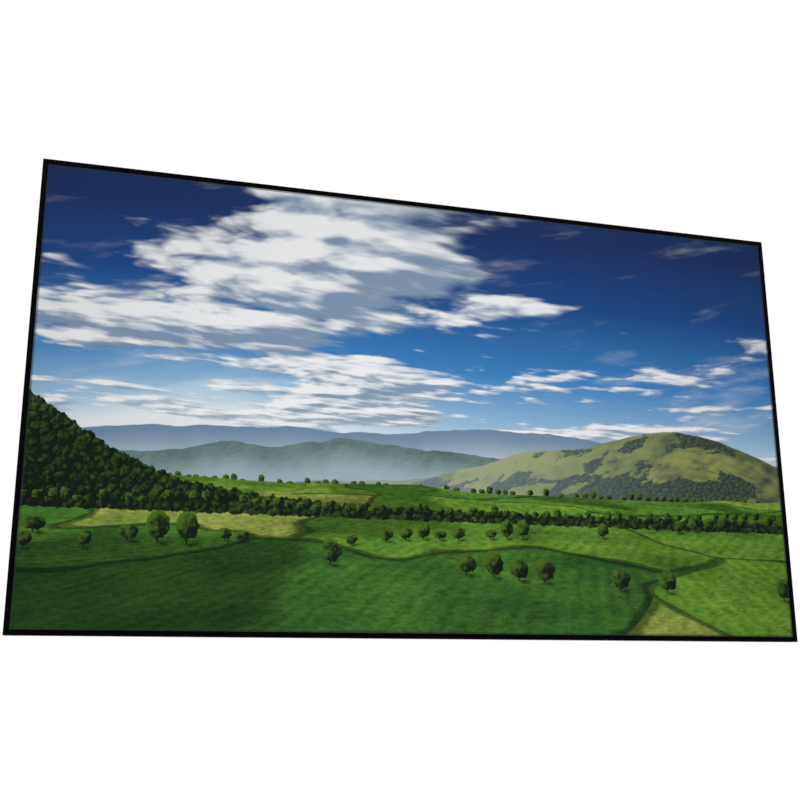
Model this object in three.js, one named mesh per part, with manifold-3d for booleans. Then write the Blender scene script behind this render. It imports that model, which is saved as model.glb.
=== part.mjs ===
// A fixed-frame projection screen for a wall: a white sheet stretched over a mitred aluminium frame, with a thin
// black bezel trim snapped over its edge. The picture area is 100 inch, 16:9.
//
// Millimetres, +Z up. The screen faces -Y and its wall is at +Y. The origin is the centre of the outer box.
// Left and right are as seen from the front.
//
// Every long piece is drawn as a section in (u, v): u is the distance in from the screen's outer edge, towards its
// middle, and v is the distance back from the bezel's front face. Each of the four edges is a group turned about Y,
// in which X runs along the edge, Y is v and Z is u.
import * as THREE from 'three';
import { mergeVertices } from 'three/addons/utils/BufferGeometryUtils.js';
import Module from 'manifold-3d';

const wasm = await Module();
wasm.setup();

// Picture area and the black border round it
const pictureWidth = 2214;
const pictureHeight = 1245;
const bezelFace = 14;

// Gaps that let the pieces go together
const fitGap = 0.3;
const mitreGap = 0.2;
const splitGap = 0.3;

// Bezel trim, a C-section that snaps over the frame's edge
const trimWall = 1.5;
const trimEdgeRadius = 1;
const trimInnerChamfer = 0.4;
const trimRearLip = 6;

// Stretched sheet, with a welded pocket along each edge
const sheetThickness = 0.5;
const sheetCornerCut = 1;
const sheetOverlap = 4;

// Frame extrusion
const frameWidth = 40;
const frameDepth = 30;
const frameWall = 1.6;
const noseRadius = 3;
const noseFlat = 3;
const frontRecess = 2.5;
const frontRecessRun = 1.5;
const innerChamfer = 1;
const rearCornerRadius = 2;
const slotHeight = 5;
const slotDepth = 8;
const slotFromNose = 18;
const springLipHeight = 4.4;
const springLipChamfer = 0.5;
const channelFromEdge = 11;
const channelWidth = 18;
const channelDepth = 3.6;
const channelLip = 3;

// Joining plates that slide in the frame's rear channel
const plateThickness = 3;
const plateSideGap = 0.5;
const cornerLeg = 95;
const spliceLength = 150;
const screwHoleRadius = 2.5;
const screwEdge = 13;
const screwPitch = 32;

// Tension rods and springs
const rodRadius = 2;
const rodFromEdge = 14;
const rodEndGap = 24;
const rodMiddleGap = 6;
const springWire = 1;
const springCoilRadius = 2.6;
const springTurns = 5;
const springCoilGap = 3.5;
const springCoilLength = 17;
const springHookRadius = 2.9;
const springTail = 3.2;
const springHookDrop = 0.8;
const springLift = 0.8;
const pocketNotch = 14;
const pocketNotchMargin = 1.4;
const springFromCorner = 200;
const springFromMiddle = 140;
const springsPerHalf = 4;
const springsPerShortEdge = 5;

// Upright support bar behind the sheet
const barWidth = 30;
const barDepth = 12;
const barWall = 1.2;
const barCornerRadius = 1.5;
const capCollar = 3;
const capPlugLength = 20;
const capTongueWidth = 26;

// Wall brackets
const bracketSheet = 2;
const bracketWidth = 60;
const bracketPlateHeight = 48;
const bracketShelfGap = 2;
const bracketBendRadius = 1;
const bracketCornerRadius = 6;
const bracketFromMiddle = 530;
const wallScrewSlotLength = 20;
const wallScrewSlotWidth = 5.5;
const wallScrewSpacing = 30;
const wallScrewFromShelf = 26;
const wallGap = 2.4;

// Roundness of the curves, in segments
const quarterSegments = 3;
const smallHoleSegments = 10;
const rodSegments = 8;
const pocketSegments = 8;
const wireSides = 3;
const springPointsPerTurn = 5;
const springHookSegments = 3;

// Worked-out sizes
const outerWidth = pictureWidth + 2 * bezelFace;
const outerHeight = pictureHeight + 2 * bezelFace;
const sheetFront = trimWall + fitGap;
const frameInset = sheetFront + sheetThickness + fitGap;
const frameRear = frameInset + frameDepth;
const frameInner = frameInset + frameWidth;
const sheetRear = frameRear + fitGap;
const trimRear = sheetRear + sheetThickness + fitGap;
const pocketRadius = rodRadius + fitGap + sheetThickness;
const rodBack = sheetRear + pocketRadius;
const springAxis = rodBack + springLift;
const springOutside = springAxis + springCoilRadius + springWire / 2;
const outerDepth = springOutside + wallGap;
const slotFront = frameInset + slotFromNose;
const slotMiddle = slotFront + slotHeight / 2;
const channelOuter = frameInset + channelFromEdge;
const channelFloor = frameRear - frameWall - channelDepth;

const materials = {
  trim: new THREE.MeshStandardMaterial({ color: 0x08080a, roughness: 0.55, metalness: 0.6 }),
  frame: new THREE.MeshStandardMaterial({ color: 0x151517, roughness: 0.6, metalness: 0.7 }),
  sheet: new THREE.MeshStandardMaterial({ color: 0xe9e9e6, roughness: 0.85, metalness: 0 }),
  rod: new THREE.MeshStandardMaterial({ color: 0xd9d3b8, roughness: 0.5, metalness: 0 }),
  spring: new THREE.MeshStandardMaterial({ color: 0xb8bcc0, roughness: 0.3, metalness: 1 }),
  plate: new THREE.MeshStandardMaterial({ color: 0xa9adb0, roughness: 0.4, metalness: 1 }),
  bar: new THREE.MeshStandardMaterial({ color: 0xb4b6b8, roughness: 0.4, metalness: 0.9 }),
  cap: new THREE.MeshStandardMaterial({ color: 0x1a1a1b, roughness: 0.6, metalness: 0 }),
  bracket: new THREE.MeshStandardMaterial({ color: 0x1c1c1e, roughness: 0.5, metalness: 0.5 }),
};

// Points on a circle about (cu, cv), from one angle to another in degrees, both ends included. At 0 degrees the
// point lies towards +u, at 90 towards +v.
function arc(cu, cv, radius, from, to, segments) {
  const points = [];
  for (let i = 0; i <= segments; i++) {
    const angle = THREE.MathUtils.degToRad(from + ((to - from) * i) / segments);
    points.push([cu + radius * Math.cos(angle), cv + radius * Math.sin(angle)]);
  }
  return points;
}

function circle(cu, cv, radius, segments) {
  return arc(cu, cv, radius, 0, 360, segments).slice(0, segments);
}

function evenly(from, to, count) {
  return Array.from({ length: count }, (_, i) => from + ((to - from) * i) / (count - 1));
}

// A rectangle of [first, second] points with its corners rounded.
function roundedRectangle(low, high, radius, segments) {
  return [
    ...arc(high[0] - radius, high[1] - radius, radius, 0, 90, segments),
    ...arc(low[0] + radius, high[1] - radius, radius, 90, 180, segments),
    ...arc(low[0] + radius, low[1] + radius, radius, 180, 270, segments),
    ...arc(high[0] - radius, low[1] + radius, radius, 270, 360, segments),
  ];
}

// A THREE.Shape from [first, second] pairs, drawn with the second value along X, so that the turn from shape axes to
// edge axes is a rotation and the faces keep pointing out. The outline runs counter-clockwise, because that is when
// ExtrudeGeometry turns the holes the right way round.
function swappedShape(outline, holes = []) {
  const toPoints = (pairs) => pairs.map(([first, second]) => new THREE.Vector2(second, first));
  const points = toPoints(outline);
  if (THREE.ShapeUtils.isClockWise(points)) {
    points.reverse();
  }
  const shape = new THREE.Shape(points);
  shape.holes = holes.map((hole) => new THREE.Path(toPoints(hole)));
  return shape;
}

// Moves every vertex of a geometry to the place that a function gives, and merges the shared ones.
function remapped(geometry, place) {
  geometry.deleteAttribute('normal');
  geometry.deleteAttribute('uv');
  const position = geometry.attributes.position;
  for (let i = 0; i < position.count; i++) {
    position.setXYZ(i, ...place(position.getX(i), position.getY(i), position.getZ(i)));
  }
  return mergeVertices(geometry, 1e-4);
}

// A bar along an edge, its section drawn in (u, v). A mitred end gets shorter by u, for a 45 degree joint.
function bar(outline, holes, start, end) {
  const raw = new THREE.ExtrudeGeometry(swappedShape(outline, holes), { depth: 1, bevelEnabled: false });
  return remapped(raw, (v, u, along) => {
    const side = along > 0.5 ? end : start;
    return [side.x - Math.sign(side.mitre) * u, v, u];
  });
}

// A flat plate that faces the wall, its outline drawn in [x, u], from v = front to front + thickness.
function plate(outline, holes, front, thickness) {
  const raw = new THREE.ExtrudeGeometry(swappedShape(outline, holes), { depth: thickness, bevelEnabled: false });
  return remapped(raw, (u, x, depth) => [x, front + depth, u]);
}

// A solid for joining and cutting, from a closed geometry with merged vertices.
function toSolid(geometry) {
  return new wasm.Manifold(new wasm.Mesh({
    numProp: 3,
    vertProperties: new Float32Array(geometry.attributes.position.array),
    triVerts: new Uint32Array(geometry.index.array),
  }));
}

function toGeometry(solid) {
  const mesh = solid.getMesh();
  const geometry = new THREE.BufferGeometry();
  geometry.setAttribute('position', new THREE.BufferAttribute(new Float32Array(mesh.vertProperties), 3));
  geometry.setIndex(new THREE.BufferAttribute(new Uint32Array(mesh.triVerts), 1));
  return geometry;
}

function named(name, geometry, material) {
  const shaded = geometry.toNonIndexed();
  shaded.computeVertexNormals();
  const mesh = new THREE.Mesh(shaded, material);
  mesh.name = name;
  return mesh;
}

// The outline of a strip of even thickness that follows corner points [u, v, bend radius at mid thickness]. The first
// and last points are its ends.
function strip(corners, thickness) {
  const middle = [];
  const normals = [];
  const flat = corners.map(([u, v]) => new THREE.Vector2(u, v));
  const direction = (i) => flat[i + 1].clone().sub(flat[i]).normalize();
  const add = (point, along) => {
    middle.push(point);
    normals.push(new THREE.Vector2(-along.y, along.x));
  };
  add(flat[0], direction(0));
  for (let i = 1; i < flat.length - 1; i++) {
    const before = direction(i - 1);
    const after = direction(i);
    const turn = Math.atan2(before.cross(after), before.dot(after));
    const radius = corners[i][2];
    const reach = radius * Math.tan(Math.abs(turn) / 2);
    const inward = new THREE.Vector2(-before.y, before.x).multiplyScalar(Math.sign(turn) * radius);
    const centre = flat[i].clone().addScaledVector(before, -reach).add(inward);
    for (let k = 0; k <= quarterSegments; k++) {
      const spin = (turn * k) / quarterSegments;
      const point = inward.clone().negate().rotateAround(new THREE.Vector2(), spin).add(centre);
      add(point, before.clone().rotateAround(new THREE.Vector2(), spin));
    }
  }
  add(flat.at(-1), direction(flat.length - 2));
  const offset = (sign) => middle.map((point, i) => {
    const moved = point.clone().addScaledVector(normals[i], (sign * thickness) / 2);
    return [moved.x, moved.y];
  });
  return [...offset(1), ...offset(-1).reverse()];
}

// Frame extrusion: a rounded nose that carries the sheet, a recessed front so that the sheet touches nothing else, a
// slot in the inner side for the wall brackets, a lip for the springs and a rear channel for the joining plates.
function frameSection() {
  const edge = frameInset;
  const rear = frameRear;
  const inner = frameInner;
  const recess = edge + frontRecess;
  const lipOuter = inner - frameWall;
  const lipTop = rear + springLipHeight;
  const slotFloor = inner - slotDepth;
  const slotBack = slotFront + slotHeight;
  const channelInner = channelOuter + channelWidth;
  const channelRoof = rear - frameWall;
  const outline = [
    ...arc(edge + noseRadius, edge + noseRadius, noseRadius, 180, 270, quarterSegments),
    [edge + noseRadius + noseFlat, edge],
    [edge + noseRadius + noseFlat + frontRecessRun, recess],
    [inner - innerChamfer, recess],
    [inner, recess + innerChamfer],
    [inner, slotFront],
    [slotFloor, slotFront],
    [slotFloor, slotBack],
    [inner, slotBack],
    [inner, lipTop - springLipChamfer],
    [inner - springLipChamfer, lipTop],
    [lipOuter, lipTop],
    [lipOuter, rear],
    [channelInner - channelLip, rear],
    [channelInner - channelLip, channelRoof],
    [channelInner, channelRoof],
    [channelInner, channelFloor],
    [channelOuter, channelFloor],
    [channelOuter, channelRoof],
    [channelOuter + channelLip, channelRoof],
    [channelOuter + channelLip, rear],
    ...arc(edge + rearCornerRadius, rear - rearCornerRadius, rearCornerRadius, 90, 180, quarterSegments),
  ];
  const mainFront = recess + frameWall;
  const channelBack = channelFloor - frameWall;
  const mainChamber = [
    [edge + frameWall, mainFront],
    [inner - frameWall, mainFront],
    [inner - frameWall, slotFront - frameWall],
    [slotFloor - frameWall, slotFront - frameWall],
    [slotFloor - frameWall, channelBack],
    [channelOuter - frameWall, channelBack],
    [channelOuter - frameWall, rear - frameWall],
    [edge + frameWall, rear - frameWall],
  ];
  const lipChamber = [
    [channelInner + frameWall, slotBack + frameWall],
    [inner - frameWall, slotBack + frameWall],
    [inner - frameWall, channelRoof],
    [channelInner + frameWall, channelRoof],
  ];
  return { outline, holes: [mainChamber, lipChamber] };
}

// Bezel trim: the front flange is the black border, the side covers the frame's edge and the rear lip clips behind it.
function trimSection() {
  const back = trimRear + trimWall;
  return [
    [bezelFace, trimWall],
    [bezelFace, trimInnerChamfer],
    [bezelFace - trimInnerChamfer, 0],
    ...arc(trimEdgeRadius, trimEdgeRadius, trimEdgeRadius, 270, 180, quarterSegments),
    ...arc(trimEdgeRadius, back - trimEdgeRadius, trimEdgeRadius, 180, 90, quarterSegments),
    [trimRearLip, back],
    [trimRearLip, trimRear],
    [trimWall, trimRear],
    [trimWall, trimWall],
  ];
}

// The part of the sheet that wraps one edge of the frame: over the nose, down the side and round to the rear, where
// it ends in a pocket for the rod. Notches in the pocket let the springs hook onto the rod.
function sheetFlap(halfLength, springPlaces) {
  const ends = [{ x: sheetCornerCut - halfLength, mitre: -1 }, { x: halfLength - sheetCornerCut, mitre: 1 }];
  const half = sheetThickness / 2;
  const front = sheetFront + half;
  const rear = sheetRear + half;
  const plateEdge = frameInset + noseRadius;
  const wrap = strip([
    [plateEdge + sheetOverlap, front],
    [front, front, noseRadius + fitGap + half],
    [front, rear, rearCornerRadius + fitGap + half],
    [rodFromEdge, rear],
  ], sheetThickness);
  const startAngle = 90;
  const ring = (radius) => arc(rodFromEdge, rodBack, radius, startAngle, startAngle + 360, pocketSegments)
    .slice(0, pocketSegments);
  const pocket = bar(ring(pocketRadius), [ring(pocketRadius - sheetThickness)], ...ends);
  let flap = toSolid(bar(wrap, [], ...ends)).add(toSolid(pocket));
  for (const x of springPlaces) {
    const left = x - pocketNotch / 2;
    const right = x + pocketNotch / 2;
    const near = rodFromEdge - pocketRadius - pocketNotchMargin;
    const far = rodFromEdge + pocketRadius + pocketNotchMargin;
    const notch = [[left, near], [right, near], [right, far], [left, far]];
    flap = flap.subtract(toSolid(plate(notch, [], frameRear, rodBack + pocketRadius)));
  }
  return flap;
}

// The whole sheet: a flat front and four wrapped edges, one piece of material.
function sheet(edges) {
  const inset = frameInset + noseRadius;
  const x = outerWidth / 2 - inset;
  const z = outerHeight / 2 - inset;
  const face = [[-x, -z], [x, -z], [x, z], [-x, z]];
  let whole = toSolid(plate(face, [], sheetFront, sheetThickness));
  for (const edge of edges) {
    const turned = new THREE.Matrix4().makeRotationY(edge.turn);
    const moved = new THREE.Matrix4().makeTranslation(0, 0, -edge.reach);
    const matrix = turned.multiply(moved);
    whole = whole.add(sheetFlap(edge.halfLength, edge.springPlaces).transform(matrix.elements));
  }
  return toGeometry(whole);
}

// Tension spring: a hook over the rod, the coil, and a hook over the frame's lip with a short straight tail.
function spring() {
  const points = [];
  const add = (x, u, v) => points.push(new THREE.Vector3(x, v, u));
  const rodHook = rodRadius + fitGap + springWire / 2;
  const coilStart = rodFromEdge + rodRadius + springCoilGap;
  const coilTop = springAxis + springCoilRadius;
  for (const [u, v] of arc(rodFromEdge, rodBack, rodHook, 230, 90, springHookSegments)) add(0, u, v);
  add(0, (rodFromEdge + coilStart) / 2, (rodBack + rodHook + coilTop) / 2);
  const count = springTurns * springPointsPerTurn;
  for (let i = 0; i <= count; i++) {
    const angle = (2 * Math.PI * i) / springPointsPerTurn;
    const u = coilStart + (springCoilLength * i) / count;
    add(springCoilRadius * Math.sin(angle), u, springAxis + springCoilRadius * Math.cos(angle));
  }
  const hookInside = springHookRadius - springWire / 2;
  const hookU = frameInner + fitGap - hookInside;
  const hookV = frameRear + springLipHeight - springHookDrop;
  for (const [u, v] of arc(hookU, hookV, springHookRadius, 125, 0, springHookSegments)) add(0, u, v);
  add(0, hookU + springHookRadius, hookV - springTail);
  const wire = circle(0, 0, springWire / 2, wireSides).map(([a, b]) => new THREE.Vector2(a, b));
  const path = new THREE.CatmullRomCurve3(points, false, 'centripetal');
  // The sweep takes one step from each point to the next, so the hooks stay as fine as the coil.
  path.getUtoTmapping = (share) => share;
  const raw = new THREE.ExtrudeGeometry(new THREE.Shape(wire), {
    steps: points.length - 1,
    bevelEnabled: false,
    extrudePath: path,
  });
  return remapped(raw, (x, v, u) => [x, v, u]);
}

// L-shaped steel plate that crosses a mitre, drawn in the corner's own [x, u].
function cornerPlate() {
  const near = channelOuter + plateSideGap;
  const far = channelOuter + channelWidth - plateSideGap;
  const end = near + cornerLeg;
  const outline = [[near, near], [end, near], [end, far], [far, far], [far, end], [near, end]];
  const centre = (near + far) / 2;
  const holes = [];
  for (const distance of [end - screwEdge, end - screwEdge - screwPitch]) {
    holes.push(circle(distance, centre, screwHoleRadius, smallHoleSegments));
    holes.push(circle(centre, distance, screwHoleRadius, smallHoleSegments));
  }
  return plate(outline, holes, channelFloor + fitGap, plateThickness);
}

// Straight steel plate that joins the two halves of a long frame side.
function splicePlate() {
  const near = channelOuter + plateSideGap;
  const far = channelOuter + channelWidth - plateSideGap;
  const end = spliceLength / 2;
  const places = [end - screwEdge, end - screwEdge - screwPitch];
  const holes = [...places, ...places.map((x) => -x)]
    .map((x) => circle(x, (near + far) / 2, screwHoleRadius, smallHoleSegments));
  const outline = [[-end, near], [end, near], [end, far], [-end, far]];
  return plate(outline, holes, channelFloor + fitGap, plateThickness);
}

// Rectangular tube that keeps the long sides from bowing in. It runs along Z, at the middle of the bracket slot.
function supportBar(length) {
  const x = barWidth / 2;
  const v = barDepth / 2;
  const tube = new THREE.Shape(
    roundedRectangle([-x, -v], [x, v], barCornerRadius, 2).map(([a, b]) => new THREE.Vector2(a, b)));
  const bore = [[-x, -v], [x, -v], [x, v], [-x, v]]
    .map(([a, b]) => new THREE.Vector2(a - Math.sign(a) * barWall, b - Math.sign(b) * barWall));
  tube.holes = [new THREE.Path(bore)];
  const raw = new THREE.ExtrudeGeometry(tube, { depth: length, bevelEnabled: false });
  return remapped(raw, (a, b, c) => [a, slotMiddle + b, c - length / 2]);
}

// Moulded end cap: a plug inside the tube, a collar against the frame and a tongue in the frame's slot.
function supportBarCap() {
  const block = (width, depth, from, to) => {
    const low = [-width / 2, from];
    const outline = [low, [width / 2, from], [width / 2, to], [-width / 2, to]];
    return toSolid(plate(outline, [], slotMiddle - depth / 2, depth));
  };
  const collarStart = frameInner + fitGap;
  const collarEnd = collarStart + capCollar;
  const plugWidth = barWidth - 2 * (barWall + fitGap);
  const plugDepth = barDepth - 2 * (barWall + fitGap);
  const tongueStart = frameInner - slotDepth + fitGap;
  const tongue = block(capTongueWidth, slotHeight - 2 * fitGap, tongueStart, collarStart + capCollar / 2);
  const collar = block(barWidth, barDepth, collarStart, collarEnd);
  const plug = block(plugWidth, plugDepth, collarStart + capCollar / 2, collarEnd + capPlugLength);
  return toGeometry(tongue.add(collar).add(plug));
}

// Bent steel bracket: a plate on the wall, a shelf forward past the frame's rear, and a lip in the frame's slot. The
// screen's slot floor rests on the lip's tip.
function wallBracket() {
  const half = bracketSheet / 2;
  const lipTip = frameInner - slotDepth + fitGap;
  const shelf = frameInner + bracketShelfGap + half;
  const wall = outerDepth - half;
  const foot = shelf + half + bracketPlateHeight;
  const bend = bracketBendRadius + half;
  const profile = strip([[lipTip, slotMiddle], [shelf, slotMiddle, bend], [shelf, wall, bend], [foot, wall]], bracketSheet);
  const side = bracketWidth / 2;
  const body = toSolid(bar(profile, [], { x: -side, mitre: 0 }, { x: side, mitre: 0 }));
  const radius = bracketCornerRadius;
  const face = [
    [-side, lipTip - 1],
    [side, lipTip - 1],
    ...arc(side - radius, foot - radius, radius, 0, 90, quarterSegments),
    ...arc(radius - side, foot - radius, radius, 90, 180, quarterSegments),
  ];
  const slotU = shelf + half + wallScrewFromShelf;
  const slotRadius = wallScrewSlotWidth / 2;
  const reach = wallScrewSlotLength / 2 - slotRadius;
  let bracket = body.intersect(toSolid(plate(face, [], 0, outerDepth + 1)));
  for (const x of [-wallScrewSpacing / 2, wallScrewSpacing / 2]) {
    const slot = [
      ...arc(x + reach, slotU, slotRadius, -90, 90, quarterSegments),
      ...arc(x - reach, slotU, slotRadius, 90, 270, quarterSegments),
    ];
    bracket = bracket.subtract(toSolid(plate(slot, [], frameRear, outerDepth)));
  }
  return toGeometry(bracket);
}

// Where the springs sit along a long and a short edge, from its middle.
const rightSprings = evenly(springFromMiddle, outerWidth / 2 - springFromCorner, springsPerHalf);
const longSprings = [...rightSprings.map((x) => -x).reverse(), ...rightSprings];
const lastShortSpring = outerHeight / 2 - springFromCorner;
const shortSprings = evenly(-lastShortSpring, lastShortSpring, springsPerShortEdge);

// The four edges. halves names the two ends of an edge, first the one at -X of its own group.
const long = { reach: outerHeight / 2, halfLength: outerWidth / 2, springPlaces: longSprings };
const short = { reach: outerWidth / 2, halfLength: outerHeight / 2, springPlaces: shortSprings };
const edges = [
  { name: 'bottom', turn: 0, halves: ['left', 'right'], ...long },
  { name: 'top', turn: Math.PI, halves: ['right', 'left'], ...long },
  { name: 'left', turn: Math.PI / 2, ...short },
  { name: 'right', turn: -Math.PI / 2, ...short },
];

// A bar of one section along an edge: one piece on a short edge, and two that meet in the middle on a long one.
function alongEdge(group, edge, prefix, section, material, { endCut, mitred, middleGap }) {
  const mitre = mitred ? 1 : 0;
  const low = { x: endCut - edge.halfLength, mitre: -mitre };
  const high = { x: edge.halfLength - endCut, mitre };
  const holes = section.holes ?? [];
  const outline = section.outline ?? section;
  if (!edge.halves) {
    group.add(named(`${prefix}_${edge.name}`, bar(outline, holes, low, high), material));
    return;
  }
  const toMiddle = { x: -middleGap / 2, mitre: 0 };
  const fromMiddle = { x: middleGap / 2, mitre: 0 };
  const [first, second] = edge.halves.map((half) => `${prefix}_${edge.name}_${half}`);
  group.add(named(first, bar(outline, holes, low, toMiddle), material));
  group.add(named(second, bar(outline, holes, fromMiddle, high), material));
}

const rodSection = circle(rodFromEdge, rodBack, rodRadius, rodSegments);
const joint = { endCut: mitreGap, mitred: true, middleGap: splitGap };
const rodEnds = { endCut: rodEndGap, mitred: false, middleGap: rodMiddleGap };

// The screen's depth runs from y = -outerDepth / 2, the bezel's front, to outerDepth / 2, the wall.
const assembly = new THREE.Group();
assembly.position.y = -outerDepth / 2;

for (const edge of edges) {
  const turned = new THREE.Group();
  turned.rotation.y = edge.turn;
  const group = new THREE.Group();
  group.position.z = -edge.reach;
  turned.add(group);
  assembly.add(turned);
  alongEdge(group, edge, 'frame', frameSection(), materials.frame, joint);
  alongEdge(group, edge, 'bezel_trim', trimSection(), materials.trim, joint);
  alongEdge(group, edge, 'tension_rod', rodSection, materials.rod, rodEnds);
  const springOrder = edge.turn === Math.PI ? edge.springPlaces.toReversed() : edge.springPlaces;
  springOrder.forEach((x, i) => {
    const one = named(`spring_${edge.name}_${i + 1}`, spring(), materials.spring);
    one.position.x = x;
    group.add(one);
  });
  if (edge.halves) {
    group.add(named(`splice_plate_${edge.name}`, splicePlate(), materials.plate));
    group.add(named(`support_bar_cap_${edge.name}`, supportBarCap(), materials.cap));
    edge.halves.forEach((half, i) => {
      const bracket = named(`wall_bracket_${edge.name}_${half}`, wallBracket(), materials.bracket);
      bracket.position.x = (i === 0 ? -1 : 1) * bracketFromMiddle;
      group.add(bracket);
    });
  }
}

const corners = [
  { name: 'bottom_left', turn: 0, x: -1, z: -1 },
  { name: 'bottom_right', turn: -Math.PI / 2, x: 1, z: -1 },
  { name: 'top_right', turn: Math.PI, x: 1, z: 1 },
  { name: 'top_left', turn: Math.PI / 2, x: -1, z: 1 },
];
for (const corner of corners) {
  const group = new THREE.Group();
  group.rotation.y = corner.turn;
  group.position.set((corner.x * outerWidth) / 2, 0, (corner.z * outerHeight) / 2);
  group.add(named(`corner_plate_${corner.name}`, cornerPlate(), materials.plate));
  assembly.add(group);
}

const barLength = outerHeight - 2 * (frameInner + 2 * fitGap + capCollar);
assembly.add(named('support_bar', supportBar(barLength), materials.bar));
assembly.add(named('screen_sheet', sheet(edges), materials.sheet));

const screen = new THREE.Group();
screen.add(assembly);

export default screen;
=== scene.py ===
"""The looks of a thin-bezel fixed frame projection screen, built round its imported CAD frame.

Metres, +Z up. The screen faces -Y and its wall is at +Y. Left and right are as seen from the front.
"""

import bpy
import numpy as np
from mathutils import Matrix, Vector


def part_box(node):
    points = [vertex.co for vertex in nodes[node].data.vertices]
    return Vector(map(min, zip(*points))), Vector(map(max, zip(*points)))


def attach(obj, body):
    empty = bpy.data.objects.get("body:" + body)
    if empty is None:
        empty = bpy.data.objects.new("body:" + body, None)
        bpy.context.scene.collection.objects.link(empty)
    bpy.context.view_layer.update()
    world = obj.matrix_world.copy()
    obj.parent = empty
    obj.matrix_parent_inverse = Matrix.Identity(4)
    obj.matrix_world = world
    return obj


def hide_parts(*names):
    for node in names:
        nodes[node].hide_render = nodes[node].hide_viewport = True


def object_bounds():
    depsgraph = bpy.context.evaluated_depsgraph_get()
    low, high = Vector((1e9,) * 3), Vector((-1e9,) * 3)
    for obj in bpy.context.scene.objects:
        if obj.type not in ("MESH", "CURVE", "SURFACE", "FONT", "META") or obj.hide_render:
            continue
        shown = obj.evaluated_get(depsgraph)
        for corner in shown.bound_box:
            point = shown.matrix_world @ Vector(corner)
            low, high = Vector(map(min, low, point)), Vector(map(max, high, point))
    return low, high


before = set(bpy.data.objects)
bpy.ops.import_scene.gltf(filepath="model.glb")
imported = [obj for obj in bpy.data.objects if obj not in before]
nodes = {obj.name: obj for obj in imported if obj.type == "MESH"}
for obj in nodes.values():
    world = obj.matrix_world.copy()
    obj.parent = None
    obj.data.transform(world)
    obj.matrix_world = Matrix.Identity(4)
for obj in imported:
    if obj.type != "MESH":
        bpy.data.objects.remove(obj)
cad_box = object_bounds()

MM = 0.001

# Sizes read from the frame
outer_low, outer_high = (np.array(corner) for corner in cad_box)
outer_half = (outer_high - outer_low) / 2
trim_low, trim_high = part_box("bezel_trim_left")
BEZEL = trim_high.x - trim_low.x
PICTURE_WIDTH, _, PICTURE_HEIGHT = outer_high - outer_low - 2 * BEZEL
FRONT = outer_low[1]

# Sizes that it doesn't give
SHEET_THICKNESS = 0.5 * MM
SHEET_CORNER_CUT = 1 * MM
NOSE_RADIUS = 3 * MM
REAR_RADIUS = 2 * MM
ROD_RADIUS = 2 * MM
ROD_CHAMFER = 0.4 * MM
FIT_GAP = 0.3 * MM
POCKET_ROLL_DEG = 325
POCKET_NOTCH = 14 * MM
POCKET_NOTCH_MARGIN = 1.4 * MM

# The photograph's camera: where it stands from the middle of the bezel's front, how it is turned,
# and its lens
CAMERA_FROM_FRONT = (-0.9463, -2.9092, -0.7335)
CAMERA_TURN_DEG = (104.4851, 0.0391, -15.6405)
CAMERA_FOCAL_PIXELS = 1101.53
CAMERA_CENTRE_PIXEL = (392.29, 391.38)
PHOTO_PIXELS = 800
SENSOR_MM = 36

# The studio. A lamp is its name, place, size and power.
FLOOR_HEIGHT = -1.5
FLOOR_RADIUS = 4.4
FLOOR_FADE_FROM = 2.0
WORLD_LIGHT = 0.82
LAMPS = [
    ("front_light", (-2.5, -4.5, 3.0), 3.0, 60.0),
    ("rear_light", (2.5, 4.5, 3.0), 3.0, 80.0),
]


class Value:
    """One output of a shader node, with the arithmetic that adds Math nodes."""

    def __init__(self, shader, socket):
        self.shader = shader
        self.socket = socket

    def _math(self, operation, first, second=0.0):
        return self.shader.node("ShaderNodeMath", {"operation": operation}, {0: first, 1: second})

    def __add__(self, other):
        return self._math("ADD", self, other)

    def __radd__(self, other):
        return self._math("ADD", other, self)

    def __sub__(self, other):
        return self._math("SUBTRACT", self, other)

    def __rsub__(self, other):
        return self._math("SUBTRACT", other, self)

    def __mul__(self, other):
        return self._math("MULTIPLY", self, other)

    def __rmul__(self, other):
        return self._math("MULTIPLY", other, self)

    def __truediv__(self, other):
        return self._math("DIVIDE", self, other)

    def __rtruediv__(self, other):
        return self._math("DIVIDE", other, self)

    def __pow__(self, other):
        return self._math("POWER", self, other)

    def sine(self):
        return self._math("SINE", self)

    def cosine(self):
        return self._math("COSINE", self)

    def size(self):
        return self._math("ABSOLUTE", self)

    def least(self, other):
        return self._math("MINIMUM", self, other)

    def most(self, other):
        return self._math("MAXIMUM", self, other)

    def step(self, low, high):
        """0 below low, 1 above high and a smooth rise between. It falls if high is under low."""
        falls = high < low
        return self.shader.node(
            "ShaderNodeMapRange",
            {"interpolation_type": "SMOOTHSTEP"},
            {
                "Value": self,
                "From Min": min(low, high),
                "From Max": max(low, high),
                "To Min": 1.0 if falls else 0.0,
                "To Max": 0.0 if falls else 1.0,
            },
        )


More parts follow.
